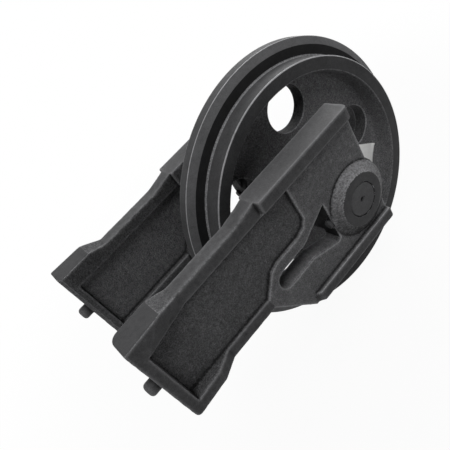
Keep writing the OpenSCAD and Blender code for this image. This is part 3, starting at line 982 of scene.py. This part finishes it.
def make_dowels():
    base_r = DOWEL_R + DOWEL_FILLET
    outline = rounded([(0, -DOWEL_OUT, 0), (DOWEL_R, -DOWEL_OUT, DOWEL_ROUND), (DOWEL_R, 0, DOWEL_FILLET),
                       (base_r, 0, 0), (base_r, DOWEL_IN, 0), (0, DOWEL_IN, 0)])
    for side, sign in SIDES:
        piece = lathe("rear_dowel_%s_pin" % side, outline,
                      lambda h, u, v: (h - REAR, sign * DOWEL_Y + u, DOWEL_Z + v), DOWEL_STEPS)
        put(piece, "brackets", "black_paint", machined, "rear_dowel_" + side)
        mark_dowel(piece.data, sign)


def dress_nodes():
    """Materials of the nodes that show as they are."""
    finishes = {"bush": bronze, "hub_seal_ring": seal_steel, "bracket_seal_ring": seal_steel,
                "hub_toric": black_rubber, "bracket_toric": black_rubber, "shaft_o_ring": black_rubber,
                "lock_pin": machined, "oil_plug_washer": copper, "oil_plug": machined, "shaft": machined}
    for name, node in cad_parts.items():
        kind = name.replace("_right", "").replace("_left", "")
        if kind in finishes:
            node.data.materials.clear()
            node.data.materials.append(finishes[kind])


make_wheel()
make_label()
make_brackets()
make_dowels()
dress_nodes()


# Floor, light and camera, in metres and degrees

FLOOR_SIZE = 60.0
FLOOR_DROP = 0.001
FLOOR_GREY = 0.5
FLOOR_GLOW_NEAR = 0.95
GLOW_FROM = 0.45
GLOW_FULL = 1.1
WORLD_FILL = 0.01
LAMP_ANGLE = 25.0
CAMERA_PLACE = Vector((-0.3291, -0.5573, 0.4776))
CAMERA_TARGET = Vector((-0.1435, 0.0235, 0.0409))
CAMERA_ROLL = -37.33
CAMERA_LENS = 37.896
SENSOR_W = 36.0


def joined(tree, operation, first, second):
    """The result of a maths operation on two values."""
    node = tree.nodes.new("ShaderNodeMath")
    node.operation = operation
    tree.links.new(first, node.inputs[0])
    tree.links.new(second, node.inputs[1])
    return node.outputs["Value"]


def seen(tree):
    """1 where the camera or a reflection looks, 0 for other light."""
    path = tree.nodes.new("ShaderNodeLightPath")
    return joined(tree, "MAXIMUM", path.outputs["Is Camera Ray"], path.outputs["Is Glossy Ray"])


def floor_material():
    """A matt pale floor that looks white away from the object and keeps a faint shade near it."""
    material = bpy.data.materials.new("floor")
    material.use_nodes = True
    tree = material.node_tree
    tree.nodes.clear()
    output = tree.nodes.new("ShaderNodeOutputMaterial")
    matt = tree.nodes.new("ShaderNodeBsdfDiffuse")
    matt.inputs["Color"].default_value = (FLOOR_GREY, FLOOR_GREY, FLOOR_GREY, 1)
    glow = tree.nodes.new("ShaderNodeEmission")
    glow.inputs["Strength"].default_value = 1
    place = tree.nodes.new("ShaderNodeTexCoord")
    away = tree.nodes.new("ShaderNodeVectorMath")
    away.operation = "LENGTH"
    tree.links.new(place.outputs["Object"], away.inputs[0])
    glow_share = tree.nodes.new("ShaderNodeMapRange")
    glow_share.interpolation_type = "SMOOTHSTEP"
    glow_share.inputs["From Min"].default_value = GLOW_FROM
    glow_share.inputs["From Max"].default_value = GLOW_FULL
    glow_share.inputs["To Min"].default_value = FLOOR_GLOW_NEAR
    glow_share.inputs["To Max"].default_value = 1
    tree.links.new(away.outputs["Value"], glow_share.inputs["Value"])
    mix = tree.nodes.new("ShaderNodeMixShader")
    tree.links.new(joined(tree, "MULTIPLY", seen(tree), glow_share.outputs["Result"]), mix.inputs["Fac"])
    tree.links.new(matt.outputs["BSDF"], mix.inputs[1])
    tree.links.new(glow.outputs["Emission"], mix.inputs[2])
    tree.links.new(mix.outputs["Shader"], output.inputs["Surface"])
    return material


def make_floor():
    low = cad_low[2] - FLOOR_DROP
    half = FLOOR_SIZE / 2
    corners = [(-half, -half, low), (half, -half, low), (half, half, low), (-half, half, low)]
    mesh = bpy.data.meshes.new("floor")
    mesh.from_pydata(corners, [], [(0, 1, 2, 3)])
    mesh.materials.append(floor_material())
    floor = bpy.data.objects.new("floor", mesh)
    bpy.context.collection.objects.link(floor)


def make_world():
    """A faint even light, which looks white to the camera and in reflections."""
    world = bpy.data.worlds.new("studio")
    bpy.context.scene.world = world
    world.use_nodes = True
    tree = world.node_tree
    background = tree.nodes["Background"]
    strength = tree.nodes.new("ShaderNodeMapRange")
    strength.inputs["To Min"].default_value = WORLD_FILL
    strength.inputs["To Max"].default_value = 1.0
    tree.links.new(seen(tree), strength.inputs["Value"])
    background.inputs["Color"].default_value = (1, 1, 1, 1)
    tree.links.new(strength.outputs["Result"], background.inputs["Strength"])


def add_lamp(name, turn, height, level):
    """A soft lamp far away, at a compass angle and a height. Level 1 shows a white card as white."""
    lamp = bpy.data.lights.new(name, "SUN")
    lamp.angle = math.radians(LAMP_ANGLE)
    lamp.energy = level * math.pi
    holder = bpy.data.objects.new(name, lamp)
    turn, height = math.radians(turn), math.radians(height)
    flat = math.cos(height)
    to_lamp = Vector((flat * math.cos(turn), flat * math.sin(turn), math.sin(height)))
    holder.rotation_euler = to_lamp.to_track_quat("Z", "Y").to_euler()
    bpy.context.collection.objects.link(holder)


def make_camera():
    data = bpy.data.cameras.new("camera")
    data.lens = CAMERA_LENS
    data.sensor_width = SENSOR_W
    camera = bpy.data.objects.new("camera", data)
    level = (CAMERA_TARGET - CAMERA_PLACE).to_track_quat("-Z", "Y").to_matrix()
    turned = level @ Matrix.Rotation(math.radians(CAMERA_ROLL), 3, "Z")
    camera.matrix_world = Matrix.Translation(CAMERA_PLACE) @ turned.to_4x4()
    bpy.context.collection.objects.link(camera)
    bpy.context.scene.camera = camera


make_floor()
make_world()
add_lamp("front", turn=0, height=62, level=0.28)
add_lamp("left", turn=40, height=35, level=0.62)
add_lamp("right", turn=240, height=62, level=0.43)
add_lamp("low", turn=270, height=15, level=0.07)
make_camera()
bpy.context.scene.view_settings.view_transform = "Standard"
